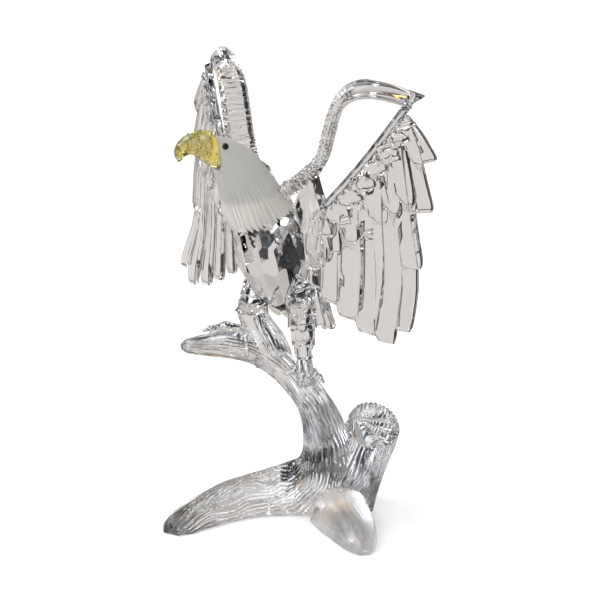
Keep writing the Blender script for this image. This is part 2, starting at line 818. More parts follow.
# Place of the root along the leading edge, tip out and up on the wing's grid, width
FLIGHT_FEATHERS = (
    (0.03, (17.4, -8.6), 4.8),
    (0.22, (22.6, -12.8), 6.6),
    (0.40, (29.6, -16.6), 7.4),
    (0.63, (36.9, -20.2), 7.8),
    (0.76, (44.4, -21.6), 7.4),
    (0.84, (50.3, -16.9), 6.4),
    (0.90, (49.7, 2.2), 6.0),
    (0.94, (52.1, 20.4), 6.0),
    (0.95, (52.3, 35.9), 6.0),
)
COVERTS = (
    (0.03, (18.7, -0.4), 8.6),
    (0.13, (26.0, 4.4), 6.8),
    (0.30, (31.2, 8.4), 6.6),
    (0.46, (36.1, 12.6), 6.4),
    (0.60, (40.6, 15.8), 6.0),
    (0.74, (44.7, 19.2), 5.6),
    (0.88, (48.4, 22.2), 5.2),
)
SCALLOPS = (
    (0.05, (20.6, 8.6), 6.8),
    (0.20, (27.4, 15.0), 6.6),
    (0.33, (31.8, 20.6), 6.4),
    (0.46, (35.4, 25.4), 6.4),
    (0.59, (38.4, 30.8), 6.4),
    (0.71, (41.4, 35.6), 6.4),
    (0.83, (43.4, 41.0), 6.0),
    (0.93, (45.0, 46.6), 5.4),
)
# Share of the length, share of the width, share of the thickness
FLIGHT_STATIONS = (
    (0.0, 0.55, 0.9), (0.25, 0.82, 1.0), (0.5, 1.0, 1.0),
    (0.8, 1.02, 0.95), (0.95, 1.0, 0.85), (1.0, 0.72, 0.5),
)
COVERT_STATIONS = (
    (0.0, 0.55, 0.9), (0.3, 0.85, 1.0), (0.6, 1.0, 1.0),
    (0.85, 0.9, 0.9), (0.96, 0.6, 0.7), (1.0, 0.3, 0.4),
)
print("feathers on a wing:", len(FLIGHT_FEATHERS) + len(COVERTS) + len(SCALLOPS))

# %% [markdown]
# One feather
#
# A feather is a skin over sections from its root to its tip. Each section is a pane with two
# crowned faces. The tip is slanted, and the whole is bent on to the sheet by a function that gives
# the place of each point, so the same feather serves the wings and the tail.

# %% One feather
FEATHER_BEVEL = 0.5
FEATHER_SLANT = -0.15
FEATHER_TILT = 0.13
# Inwards from the edge in bevels, share of the half thickness
FEATHER_EDGE = ((0.0, 0.3), (0.4, 0.8), (1.0, 1.0))
FEATHER_CROWN = 1.06
FEATHER_STEPS = 3
FEATHER_SMOOTH_BELOW = 25.0


def feather_section(half_width):
    """Half the outline of a feather cut across: a flat pane with a narrow bevel at each edge."""
    bevel = min(FEATHER_BEVEL, 0.6 * half_width)
    side = [(half_width - inwards * bevel, share) for inwards, share in FEATHER_EDGE]
    side.append((half_width / 3, FEATHER_CROWN))
    return side + [(-across, share) for across, share in reversed(side)]


def feather(name, place, root, tip, width, thickness, stations):
    """One feather, drawn flat and bent on to the sheet of place()."""
    along = tip - root
    across = Vector((-along.y, along.x)).normalized()
    rings = []
    for share, wide, thick in curve_through(stations, FEATHER_STEPS):
        middle = root + along * share
        front = feather_section(wide * width / 2)
        ring = []
        for u, v in front + [(-u, -v) for u, v in front]:
            spot = middle + across * u - along.normalized() * (u * FEATHER_SLANT * share ** 4)
            ring.append(place(spot.x, spot.y, v * thick * thickness / 2 + u * FEATHER_TILT))
        rings.append(ring)
    return skin(name, rings, FEATHER_SMOOTH_BELOW)


print("points in a feather's section:", 2 * len(feather_section(FEATHER_THICKNESS)))

# %% [markdown]
# Sections of the arm
#
# The arm is a thick band that arches over the feathers. Its front is ridged across like a pine
# cone, and its lower part is lumpy. Towards the tip it turns into a polished bar with flat sides,
# so the band's outline is blended into the bar's, section by section.

# %% Sections of the arm
ARM_WIDTH = 9.4
ARM_THICKNESS = 4.2
# Out, back and up on the wing's grid, share of the thickness, how far the band has turned into the bar
ARM_PATH = (
    (6.5, -4.2, 20.2, 1.15, 0.0),
    (10.5, -1.6, 24.4, 1.2, 0.0),
    (14.9, 1.0, 28.7, 1.15, 0.0),
    (18.5, 2.6, 33.9, 1.05, 0.0),
    (20.6, 3.2, 41.0, 1.0, 0.0),
    (22.9, 3.8, 49.2, 1.0, 0.1),
    (25.6, 4.8, 54.0, 1.15, 0.6),
    (29.0, 6.4, 56.7, 1.3, 1.0),
    (33.5, 9.6, 57.5, 1.3, 1.0),
    (38.4, 14.0, 56.1, 1.2, 1.0),
    (43.0, 18.4, 53.9, 1.1, 1.0),
)
# Corners of the section, as shares of half the width and half the thickness
ARM_BAND = (
    (-1.0, -0.1), (-0.45, -1.0), (0.8, -1.0), (1.0, -0.6),
    (1.0, 0.6), (0.8, 1.0), (-0.8, 1.0), (-1.0, 0.6),
)
ARM_BAR = (
    (-0.9, -0.6), (-0.7, -1.0), (0.8, -1.0), (1.0, -0.7),
    (0.8, 0.1), (0.2, 1.0), (-0.25, 1.0), (-0.75, 0.1),
)
print("arm:", round(walk([Vector(row[0:3]) for row in ARM_PATH])[-1]), "mm long")

# %% [markdown]
# The wing's arm
#
# The sections follow the arm's path. The ridges are a row of round bumps with sharp valleys,
# counted by the way walked along the arm, and noise makes them uneven. They stand out most on the
# front and fade where the band turns into the bar.

# %% The wing's arm
ARM_YAW = 37.0
ARM_END_CUT = 2.6
ARM_SPLIT = 4
ARM_STEPS = 24
RIDGE_PITCH = 1.75
RIDGE_HEIGHT = 1.0
RIDGE_ROUNDNESS = 0.7
LUMP_LENGTH = 2.6
LUMP_HEIGHT = 0.9
LUMPS_END = 36.0
LUMPS_FADE = 4.0


def wing_arm():
    """The ridged band, from the body to the tip of the polished bar."""
    rows = curve_through(ARM_PATH, ARM_STEPS)
    points = [wing_point(*row[0:3]) for row in rows]
    yaw = math.radians(ARM_YAW)
    breadth = Vector((-math.sin(yaw), math.cos(yaw), 0.0))
    rings = []
    for point, along, walked, row in zip(points, tangents(points), walk(points, 1000), rows):
        size, bar = row[3], held(row[4])
        wide = (breadth - along * breadth.dot(along)).normalized()
        thick = along.cross(wide)
        corners = [Vector(a).lerp(Vector(b), bar) for a, b in zip(ARM_BAND, ARM_BAR)]
        profile = []
        for a, b in zip(corners, corners[1:] + corners[:1]):
            profile += [a.lerp(b, j / ARM_SPLIT) for j in range(ARM_SPLIT)]
        cut = ARM_END_CUT if row is rows[-1] else 0.0
        ring = []
        lumpy = held((LUMPS_END - row[2]) / LUMPS_FADE)
        for u, v in profile:
            lump = noise.noise(Vector((1.5 * u, 1.5 * v, walked / LUMP_LENGTH)))
            phase = math.pi * (walked + 0.5 * u + 1.2 * lump) / RIDGE_PITCH
            front = 0.3 + 0.7 * held(0.5 + (v - u) / 2)
            valley = abs(math.sin(phase)) ** RIDGE_ROUNDNESS - 1
            ridge = RIDGE_HEIGHT * front * (1 - bar) * valley
            bulge = LUMP_HEIGHT * front * lumpy * (lump - 0.3)
            ring.append(
                point
                + wide * ((u * ARM_WIDTH / 2 + u * (bulge + ridge * (0.4 + 0.6 * lumpy))) / 1000)
                + thick * ((v * size * ARM_THICKNESS / 2 + v * (bulge + ridge)) / 1000)
                + along * (v * cut / 1000)
            )
        rings.append(ring)
    return skin("arm", rings)


print("ridges on the arm:", RIDGE_PITCH, "mm apart")

# %% [markdown]
# The wing's rim
#
# A straight rounded bead closes the feathers along the leading edge. In the groove behind it lies
# a row of drops, on the front and on the back.

# %% The wing's rim
RIM_WIDTH = 2.2
RIM_SIDES = 20
RIM_STEPS = 24
RIM_SQUARENESS = 2.4
RIM_FULLNESS = 1.3
RIM_BEADS = 11
BEAD_WIDTH = 1.5
BEAD_LENGTH = 2.3
BEAD_INSET = 3.1
BEAD_LIFT = 0.62
# Share of the full size, and how much it swings from drop to drop
BEAD_SIZE = (0.8, 0.2)


def wing_rim():
    """The straight bead along the blade's leading edge."""
    rings = []
    for k in range(RIM_STEPS + 1):
        outer, inner = edge_point(k / RIM_STEPS, 0.0), edge_point(k / RIM_STEPS, RIM_WIDTH)
        middle, half = (outer + inner) / 2, (outer - inner) / 2
        ring = []
        for angle in angles(RIM_SIDES):
            reach = squarish(angle, RIM_SQUARENESS)
            spot = middle + half * (math.cos(angle) * reach)
            through = RIM_FULLNESS * FEATHER_THICKNESS / 2 * math.sin(angle) * reach
            ring.append(wing_point(spot.x, wing_sheet(*spot) + through, spot.y))
        rings.append(ring)
    return skin("rim", rings)


def rim_beads():
    """Drops in the groove between the bead of the rim and the first scallops, front and back."""
    spots = []
    for k in range(RIM_BEADS):
        share = (k + 0.5) / RIM_BEADS
        spot = edge_point(share, BEAD_INSET)
        along = Vector((EDGE_TOP.x - EDGE_LOW.x, 0.0, EDGE_TOP.y - EDGE_LOW.y)).normalized()
        for side in (-1, 1):
            place = wing_point(spot.x, wing_sheet(*spot) + side * BEAD_LIFT * FEATHER_THICKNESS, spot.y)
            spots.append((place, along, BEAD_SIZE[0] + BEAD_SIZE[1] * math.sin(5.0 * k)))
    return drops("rim beads", spots, BEAD_WIDTH, BEAD_LENGTH)


print("drops on a wing:", 2 * RIM_BEADS)

# %% [markdown]
# The wing's shoulder
#
# Near the body a thick web of crystal carries both the arm and the feathers. Its outline is drawn
# flat and bent on to the same sheet as the feathers. Towards the body it slopes back further, so
# that it reaches the flank.

# %% The wing's shoulder
SHOULDER_OUTLINE = (
    (4.0, 15.0), (9.5, 25.0), (13.5, 27.0), (17.5, 22.0), (20.0, 18.5),
    (19.0, 8.0), (16.5, -3.0), (12.5, -4.0), (6.0, 0.0),
)
SHOULDER_THICKNESS = 4.0
SHOULDER_BEND = 18.5
SHOULDER_SLOPE = 0.45


def wing_shoulder():
    """The web of crystal that joins the arm and the feathers at the body."""
    rings = []
    for layer in (-SHOULDER_THICKNESS / 2, SHOULDER_THICKNESS / 2):
        ring = []
        for x, z in SHOULDER_OUTLINE:
            back = wing_sheet(x, z) + SHOULDER_SLOPE * max(SHOULDER_BEND - x, 0.0)
            ring.append(wing_point(x, back + layer, z))
        rings.append(ring)
    return skin("shoulder", rings)


print("shoulder:", len(SHOULDER_OUTLINE), "corners,", SHOULDER_THICKNESS, "mm thick")

# %% [markdown]
# Join a wing
#
# The flight feathers come first, the coverts lie over their roots and the short scallops over
# those, each row a little further forward. One exact Boolean makes them one casting. The right
# wing is its mirror image, and both are ground to fit the body and the head.

# %% Join a wing
# Name, feathers, stations, inset from the edge, fullness, lift, lift of every second feather
FEATHER_ROWS = (
    ("flight", FLIGHT_FEATHERS, FLIGHT_STATIONS, 2.0, 0.6, 0.0, 0.3),
    ("covert", COVERTS, COVERT_STATIONS, 2.6, 0.85, -0.4, -0.2),
    ("scallop", SCALLOPS, COVERT_STATIONS, 3.6, 1.15, -0.3, 0.0),
)
shapes = [wing_arm(), wing_rim(), rim_beads()]
for row, feathers, stations, inset, fullness, lift, stagger in FEATHER_ROWS:
    for i, (share, tip, width) in enumerate(feathers):
        raised = lift + stagger * (i % 2)
        shapes.append(feather(
            f"{row} {i}",
            lambda x, z, through: wing_point(x, wing_sheet(x, z) + through + raised, z),
            edge_point(share, inset),
            Vector(tip),
            width,
            fullness * FEATHER_THICKNESS,
            stations,
        ))
left_wing = carved(wing_shoulder(), "UNION", shapes, FEATHER_SMOOTH_BELOW)
left_wing.name = "left_wing"


def mirrored(source, name):
    """The same solid on the other side of the body, turned right side out."""
    bm = bmesh.new()
    bm.from_mesh(source.data)
    bmesh.ops.transform(bm, matrix=Matrix.Scale(-1, 4, (1, 0, 0)), verts=bm.verts)
    bmesh.ops.reverse_faces(bm, faces=bm.faces)
    return as_piece(name, bm)


right_wing = mirrored(left_wing, "right_wing")
for wing, solid in ((left_wing, "wing_left"), (right_wing, "wing_right")):
    head_seat = skin("head seat", head_rings(grow=GLUE_GAP))
    carved(wing, "DIFFERENCE", [grown_copy(body, "body seat", GLUE_GAP), head_seat])
    dress(wing, "clear_crystal", solid)

# %% [markdown]
# Tail
#
# The tail is a broad fan of seven feathers that hangs behind the body, made with the same
# feather as the wings.

# %% Tail
TAIL_FEATHERS = 7
TAIL_ROOT = Vector((0.0, 11.2, BODY_HEIGHT - 5.2))
TAIL_THICKNESS = 2.4
TAIL_SLOPE = 3.0
TAIL_STAGGER = 0.4
TAIL_ROOT_HALF = 4.4
TAIL_TIP_HALF = 12.6
TAIL_LENGTH = 21.0
TAIL_FEATHER_WIDTH = 5.0
slope = math.radians(TAIL_SLOPE)
tail_down = Vector((0.0, math.sin(slope), -math.cos(slope)))
tail_out = Vector((0.0, math.cos(slope), math.sin(slope)))


def tail_point(x, z, through):
    """A place of the tail's grid: to the left, above its root and out of its sheet."""
    return metres(TAIL_ROOT + Vector((x, 0, 0)) - tail_down * z + tail_out * through)


shapes = []
for i in range(TAIL_FEATHERS):
    share = 2 * i / (TAIL_FEATHERS - 1) - 1
    raised = TAIL_STAGGER * (i % 2)
    shapes.append(feather(
        f"tail feather {i}",
        lambda x, z, through: tail_point(x, z, through + raised),
        Vector((TAIL_ROOT_HALF * share, 0.0)),
        Vector((TAIL_TIP_HALF * share, -TAIL_LENGTH)),
        TAIL_FEATHER_WIDTH,
        TAIL_THICKNESS,
        FLIGHT_STATIONS,
    ))
tail = carved(shapes[0], "UNION", shapes[1:])
tail.name = "tail_fan"
carved(tail, "DIFFERENCE", [grown_copy(body, "body seat", GLUE_GAP)])
dress(tail, "clear_crystal", "tail")

# %% [markdown]
# Thighs
#
# Each thigh is a stack of short frills, like a skirt of scales. One ring of points is enough for
# each height: its width flares towards the lower edge of a frill, and the edge is scalloped.

# %% Thighs
THIGH_TOP_WIDTH = 9.2
THIGH_FRILLS = 5
THIGH_SIDES = 72
THIGH_SMOOTH_BELOW = 30.0
FRILL_STEPS = 10
FRILL_FLARE = 0.09
FRILL_SCALES = 8
SCALE_DEPTH = 0.1
POINT_DROP = 1.5


def thigh(name, foot, hip, foot_width):
    """A stack of frills from a foot to a hip. Each frill's lower edge hangs in points."""
    rings = []
    for k in range(THIGH_FRILLS * FRILL_STEPS):
        frill, step = divmod(k, FRILL_STEPS)
        part = step / (FRILL_STEPS - 1)
        fade = 1 - part
        share = (frill + part) / THIGH_FRILLS
        flare = FRILL_FLARE - 1.5 * FRILL_FLARE * part ** 0.8
        fullness = math.sin(0.5 * math.pi * min(1.6 * share, 1.0))
        width = foot_width + (THIGH_TOP_WIDTH - foot_width) * fullness
        middle = foot.lerp(hip, share)
        ring = []
        for angle in angles(THIGH_SIDES):
            scale = abs(math.cos(FRILL_SCALES * angle / 2 + frill * math.pi / 2)) - 0.6
            radius = width / 2 * (1 + flare + SCALE_DEPTH * scale * fade)
            hang = Vector((0, 0, -POINT_DROP * (scale + 0.1) * fade * min(share / 0.15, 1.0)))
            outwards = Vector((math.cos(angle), math.sin(angle), 0.0))
            ring.append(metres(middle + hang + outwards * radius))
        rings.append(ring)
    return skin(name, rings, THIGH_SMOOTH_BELOW)


RIGHT_ANKLE = Vector((-9.6, -1.1, 70.5))
LEFT_ANKLE = Vector((10.6, 2.8, 58.2))
lift = Vector((0, 0, GLUE_GAP))
for name, solid, ankle, hip, width in (
    ("right_thigh", "thigh_right", RIGHT_ANKLE, Vector((-7.6, 1.4, BODY_HEIGHT - 7.0)), 9.8),
    ("left_thigh", "thigh_left", LEFT_ANKLE, Vector((8.6, 2.6, BODY_HEIGHT - 8.0)), 5.0),
):
    piece = thigh(name, ankle + lift, hip, width)
    carved(piece, "DIFFERENCE", [grown_copy(body, "body seat", GLUE_GAP)], THIGH_SMOOTH_BELOW)
    dress(piece, "clear_crystal", solid)

# %% [markdown]
# Stand: limbs with grain
#
# The driftwood is one casting: a branch that turns into a root, a second root, a broken stump and
# the eagle's feet. Its grain is a set of rounded strings that run along every limb. Each limb is
# a skin over rings, so the strings are drawn in each ring, and stay sharp and smooth as glass.

# %% Rows of the branch and the roots
# To the eagle's left, back and up, radius across and radius upwards
BRANCH = (
    (-25.2, -18.4, 58.6, 0.8, 0.8),
    (-23.6, -16.6, 58.9, 2.5, 2.6),
    (-19.0, -11.7, 59.2, 3.7, 3.9),
    (-13.4, -5.3, 59.2, 4.7, 5.0),
    (-7.1, -0.9, 57.8, 5.0, 5.4),
    (0.8, 2.2, 53.6, 5.2, 5.2),
    (7.4, 5.2, 47.2, 5.4, 5.4),
    (10.4, 8.8, 39.2, 5.9, 6.0),
    (9.8, 13.2, 29.4, 7.2, 7.4),
    (7.0, 17.2, 18.4, 9.0, 9.0),
)
LEFT_ROOT = (
    (1.6, 18.4, 9.0, 10.6, 10.4),
    (-6.2, 15.2, 2.6, 11.8, 11.4),
    (-13.0, 7.6, 0.0, 11.6, 11.2),
    (-16.6, -3.0, 0.0, 10.0, 9.6),
    (-17.4, -13.0, 0.0, 8.6, 8.0),
    (-16.8, -22.0, 0.0, 7.4, 6.4),
    (-15.8, -29.0, 0.0, 5.8, 4.4),
    (-14.8, -33.0, 0.0, 3.4, 2.0),
)
HEEL = (
    (9.0, 14.6, 26.0, 6.8, 7.0),
    (7.0, 18.2, 18.4, 8.6, 8.6),
    (4.2, 22.4, 8.0, 11.6, 11.6),
    (2.6, 24.0, -1.0, 13.3, 13.3),
)
RIGHT_ROOT = (
    (3.0, 25.0, 0.0, 12.0, 13.0),
    (10.5, 18.5, 0.0, 10.8, 12.6),
    (19.2, 12.8, 0.0, 9.6, 10.6),
    (27.8, 8.0, 0.0, 8.0, 8.4),
    (34.8, 3.4, 0.0, 6.0, 6.0),
    (39.2, 0.8, 0.0, 4.0, 3.8),
    (41.6, -0.9, 0.0, 1.8, 1.6),
)
print("rows of the branch and the roots:", len(BRANCH + LEFT_ROOT + HEEL + RIGHT_ROOT))

# %% [markdown]
# Stand: stump and legs
#
# Three short limbs grow out of the others: the stump, the eagle's right hock, which stands on the
# branch, and its left shank, which stands on the trunk. They were cast with the driftwood, so
# they get the same grain.

# %% Rows of the stump and the legs
STUMP = (
    (6.0, 23.0, -2.0, 12.0, 12.0),
    (10.1, 24.3, 8.0, 10.3, 10.3),
    (13.3, 26.1, 18.0, 9.6, 9.6),
    (16.6, 27.6, 27.0, 9.2, 9.2),
    (18.5, 28.9, 35.0, 8.7, 8.7),
    (19.1, 29.3, 44.0, 8.7, 8.7),
)
HOCK = (
    (-3.2, 2.6, 54.0, 6.4, 6.4),
    (-5.4, 1.6, 60.0, 6.6, 6.2),
    (-8.2, 0.0, 66.0, 5.6, 5.2),
    (-9.6, -1.1, 70.5, 4.9, 4.9),
)
LEFT_SHANK = (
    (10.6, 2.8, 49.2, 3.1, 3.1),
    (10.6, 2.8, 55.2, 2.9, 2.9),
    (10.6, 2.8, 58.2, 2.5, 2.5),
)

print("rows of the stump and the legs:", len(STUMP + HOCK + LEFT_SHANK))

# %% [markdown]
# Stand: strings of the grain
#
# Each string is a round ridge a millimetre or two wide, so it works as a small lens. Where a limb
# gets wide, each string splits in two, and wider flutes run among them. The side that the figurine
# shows has the full depth. Behind, the strings are shallower, so the light comes through clean.

# %% Strings of the grain
STRING_DEPTH = 0.6
STRING_SAMPLES = 10
WIDEST_STRING = 1.9
STRING_WAVER = 2.6
FLUTE_DEPTH = 0.9
FLUTE_WIDTH = 3.4
FLUTE_LENGTH = 22.0
WAVER_LENGTH = 12.0
BRANCH_STRINGS = 24


def string_depth(angle, walked, radius, strings):
    """How far the surface lies under the limb's round form, in mm: strings, and wider flutes."""
    c, s = math.cos(angle), math.sin(angle)
    waver = noise.noise(Vector((1.3 * c, 1.3 * s, walked / WAVER_LENGTH)))
    phase = strings * angle / 2 + STRING_WAVER * waver
    pitch = 2 * math.pi * radius / strings
    split = held((pitch - WIDEST_STRING) / 0.5 + waver)
    crest = abs(math.sin(phase)) * (1 - split) + abs(math.sin(2 * phase)) * split
    spot = Vector((radius * c / FLUTE_WIDTH, radius * s / FLUTE_WIDTH, walked / FLUTE_LENGTH + 7.0))
    flute = noise.noise(spot)
    return STRING_DEPTH * (1 - crest) + FLUTE_DEPTH * max(flute, -0.2) + 0.2 * FLUTE_DEPTH


print("widest string:", WIDEST_STRING, "mm, cut", STRING_DEPTH, "mm deep")

# %% [markdown]
# Stand: skin of a limb
#
# A limb's rings follow its rows, without twisting, and each point is sunk by the depth of the
# strings there. A limb that carries a thigh gets a level, plain top for it to sit on.

# %% Skin of a limb
SHOWN_FROM = Vector((0.67, -0.67, 0.3))
PLAIN_SHARE = 0.3
STAND_SMOOTH_BELOW = 50.0


def shown(facing):
    """The grain is cut to its full depth on the shown side only, and shallower behind."""
    turned = held((facing.dot(SHOWN_FROM) + 0.25) / 0.3)
    return PLAIN_SHARE + (1 - PLAIN_SHARE) * turned


def limb(name, sections, steps, strings, level_top=0.0, share=None):
    """A limb with this many strings round it. Its top ring can be level, and its grain can fade."""
    rows = curve_through(sections, steps)
    points = [Vector(row[0:3]) for row in rows]
    headings = tangents(points)
    if level_top:
        headings[-1] = Vector((0, 0, 1))
    rings = []
    for row, point, walked, (across, rise) in zip(rows, points, walk(points), untwisted(headings)):
        ring = []
        for angle in angles(strings * STRING_SAMPLES):
            depth = string_depth(angle, walked, row[3], strings) * min(1.0, row[3] / 4)
            if level_top:
                depth *= held((level_top - point.z) / 2.0)
            if share:
                depth = share(angle, walked, depth)
            c, s = math.cos(angle), math.sin(angle)
            depth *= shown(across * c + rise * s)
            ring.append(metres(point + across * (c * (row[3] - depth)) + rise * (s * (row[4] - depth))))
        rings.append(ring)
    return skin(name, rings, STAND_SMOOTH_BELOW, driftwood_crystal)


perch_string = 2 * math.pi * BRANCH[3][3] / BRANCH_STRINGS
print("strings on the branch:", round(perch_string, 1), "mm wide at the perch")

# %% [markdown]
# Stand: walls of the stump
#
# The stump is broken off at a slant, so its walls end at different heights. They are drawn as
# columns of points, with the same strings as a limb. Each column is ended where it meets the
# plane of the break, and then divided into equal steps, so that all columns have as many points.

# %% Walls of the stump
STUMP_FACE = Vector((18.0, 28.4, 30.4))
STUMP_FACING = Vector((0.61, -0.24, 1.0)).normalized()
STUMP_STRINGS = 28
STUMP_ROWS = 40
STUMP_STEPS = 10


def stump_walls():
    """Columns of points up the stump's grained walls, each ended at the plane of the break."""
    rows = curve_through(STUMP, STUMP_STEPS)
    points = [Vector(row[0:3]) for row in rows]
    walks = walk(points)
    frames = untwisted(tangents(points))
    columns = []
    for angle in angles(STUMP_STRINGS * STRING_SAMPLES):
        wall = []
        for row, point, walked, (across, rise) in zip(rows, points, walks, frames):
            outwards = across * math.cos(angle) + rise * math.sin(angle)
            depth = string_depth(angle, walked, row[3], STUMP_STRINGS) * shown(outwards)
            wall.append(point + outwards * (row[3] - depth))
        over = [(spot - STUMP_FACE).dot(STUMP_FACING) for spot in wall]
        first = next(k for k, height in enumerate(over) if height > 0)
        hit = first - 1 + over[first - 1] / (over[first - 1] - over[first])
        column = []
        for k in range(STUMP_ROWS + 1):
            low, part = divmod(hit * k / STUMP_ROWS, 1)
            low = int(low)
            column.append(wall[low].lerp(wall[min(low + 1, len(wall) - 1)], part))
        columns.append(column)
    return columns


print("stump:", STUMP_STRINGS, "strings round it,", STUMP_ROWS, "steps up to the break")

# %% [markdown]
# Stand: break of the stump
#
# The break is a fan of ridges that spreads from its lower edge to a toothed rim. Its rings start
# at the top of the walls and shrink towards the point that the fan spreads from. The teeth stand
# on the outermost rings only, and the ridges grow deeper just inside them.

# %% Break of the stump
STUMP_SMOOTH_BELOW = 35.0
TEETH = 34
TOOTH_HEIGHT = 0.3
TEETH_END = 0.05
FAN_FROM = Vector((12.6, 24.9, 32.8))
FAN_RIDGES = 12
FAN_DEPTH = 1.0
FULL_DEPTH_FROM = 0.06
FAN_STEPS = (0.0, 0.02, 0.06, 0.14, 0.24, 0.36, 0.5, 0.64, 0.78, 0.9, 0.97)


def break_ring(rim, step):
    """A ring of the break, this share of the way from its rim to where the fan spreads from."""
    side = STUMP_FACING.cross(Vector((0, 0, 1))).normalized()
    up = side.cross(STUMP_FACING)
    ring = []
    for i, edge in enumerate(rim):
        spoke = edge - FAN_FROM
        angle = math.atan2(spoke.dot(side), spoke.dot(up))
        ridge = abs(math.sin(FAN_RIDGES * angle / 2 + 0.8 * math.sin(3 * angle)))
        reach = min((1 - step) * spoke.length / 10, 1.0)
        tooth = math.copysign(TOOTH_HEIGHT, math.cos(TEETH * 2 * math.pi * i / len(rim)))
        tooth = tooth if step < TEETH_END else 0.0
        drop = FAN_DEPTH * (1 - ridge) * reach * min(step / FULL_DEPTH_FROM, 1.0)
        ring.append(metres(edge.lerp(FAN_FROM, step) + STUMP_FACING * (tooth - drop - TOOTH_HEIGHT)))
    return ring


def broken_stump(name):
    """The stump: grained walls cut by a slanted plane, closed by a fan of ridges."""
    columns = stump_walls()
    rings = [[metres(column[k]) for column in columns] for k in range(STUMP_ROWS)]
    rim = [column[-1] for column in columns]
    rings += [break_ring(rim, step) for step in FAN_STEPS]
    return skin(name, rings, STUMP_SMOOTH_BELOW, driftwood_crystal)


print("break:", FAN_RIDGES, "ridges and", TEETH, "teeth")

# %% [markdown]
# Stand: worn root and flat foot
#
# The right root is worn smooth: its strings end at a ragged line, and beyond that line the glass
# is a plain dome that stands a little higher. The whole foot is ground flat, so a plane cuts it
# and the cut is closed with one face.

# %% Worn root and flat foot
WORN_FROM = 15.0
WORN_DEPTH = 0.7
WORN_GRAIN = 0.12


def worn(angle, walked, depth):
    """The right root's grain: strings up to a ragged line, then a smooth dome that stands higher."""
    ragged = WORN_FROM + 2.4 * noise.noise(Vector((5 * math.cos(angle), 5 * math.sin(angle), 2.0)))
    grained = held((ragged - walked) / 0.8)
    return grained * (depth + WORN_DEPTH) + (1 - grained) * WORN_GRAIN * depth


def cut_flat(obj, place, facing):
    """Cuts a shape with a plane and keeps what lies behind it."""
    bm = bmesh.new()
    bm.from_mesh(obj.data)
    everything = bm.verts[:] + bm.edges[:] + bm.faces[:]
    bmesh.ops.bisect_plane(bm, geom=everything, plane_co=place, plane_no=facing, clear_outer=True)
    bmesh.ops.holes_fill(bm, edges=[edge for edge in bm.edges if edge.is_boundary], sides=0)
    bm.to_mesh(obj.data)
    bm.free()


print("the right root is worn from", WORN_FROM, "mm on")

# %% [markdown]
# Stand: feet
#
# The toes grip the branch. Each is a short limb with wrinkles across it, arched in three joints
# and ending in a claw.

# %% Toes
TOE_WIDTH = 3.1
TOE_ARCH = Vector((0, 0, 1.6))
TOE_SIDES = 28
TOE_STEPS = 7
WRINKLE_PITCH = 1.3
WRINKLE_DEPTH = 0.22
CLAW_START = 0.82
# Share of the length, of the arch and of the width
TOE_JOINTS = (
    (0.0, 0.0, 0.55), (0.22, 0.6, 0.46), (0.45, 1.0, 0.56), (0.62, 0.8, 0.42),
    (0.8, 0.5, 0.46), (0.86, 0.4, 0.3), (1.0, 0.0, 0.12),
)
RIGHT_KNUCKLE = Vector((-10.6, -2.6, 64.2))
LEFT_KNUCKLE = Vector((10.2, 3.2, 53.0))
RIGHT_TOES = ((-18.4, -15.0, 64.6), (-12.2, -9.6, 57.4), (-6.2, -6.2, 56.0), (-15.6, 0.6, 58.6))
LEFT_TOES = ((12.4, -1.4, 49.6), (16.0, 4.0, 46.4), (12.8, 9.6, 48.6), (4.6, -0.4, 51.4))


def toe(name, knuckle, tip):
    """A toe that arches out of its knuckle in three joints and ends in a hooked claw."""
    tip = Vector(tip)
    start = knuckle + (tip - knuckle).normalized() * 0.6
    sections = [
        (*start.lerp(tip, share) + TOE_ARCH * arch, size * TOE_WIDTH)
        for share, arch, size in TOE_JOINTS
    ]
    rows = curve_through(sections, TOE_STEPS)
    points = [Vector(row[0:3]) for row in rows]
    walks = walk(points)
    rings = []
    for k, (row, point, (across, rise)) in enumerate(zip(rows, points, untwisted(tangents(points)))):
        wrinkle = WRINKLE_DEPTH * abs(math.sin(math.pi * walks[k] / WRINKLE_PITCH))
        radius = row[3] - (wrinkle if k / len(rows) < CLAW_START else 0.0)
        rings.append([
            metres(point + across * (math.cos(angle) * radius) + rise * (math.sin(angle) * radius))
            for angle in angles(TOE_SIDES)
        ])
    return skin(name, rings, material=driftwood_crystal)


print("toes:", len(RIGHT_TOES) + len(LEFT_TOES))

# %% [markdown]
# Join the stand
#
# The branch runs on into the left root as one limb. All the other limbs are joined to it with one
# exact Boolean, as they are one casting. Then its foot is cut flat at the floor, as the real one
# is ground flat.

# %% Join the stand
# Name, rows, steps between rows, strings, and what else the limb needs
shapes = [
    limb("heel", HEEL, 8, 28),
    limb("right root", RIGHT_ROOT, 14, 20, share=worn),
    broken_stump("stump"),
    limb("hock", HOCK, 14, 18, level_top=RIGHT_ANKLE.z),
    limb("left shank", LEFT_SHANK, 8, 10, level_top=LEFT_ANKLE.z),
    *[toe(f"right toe {i}", RIGHT_KNUCKLE, tip) for i, tip in enumerate(RIGHT_TOES)],
    *[toe(f"left toe {i}", LEFT_KNUCKLE, tip) for i, tip in enumerate(LEFT_TOES)],
]
branch = limb("branch", BRANCH + LEFT_ROOT, 12, BRANCH_STRINGS)
stand = carved(branch, "UNION", shapes, STAND_SMOOTH_BELOW)
stand.name = "driftwood_stand"
cut_flat(stand, Vector((0, 0, 0)), Vector((0, 0, -1)))
shaded(stand, STAND_SMOOTH_BELOW)
dress(stand, "clear_crystal", "stand")

# %% [markdown]
# Camera
#
# The photograph was taken from the eagle's front left, a little above it, with a long lens. The
# camera stands 0.9 m away, 45 degrees round from the front and 17.5 degrees up.

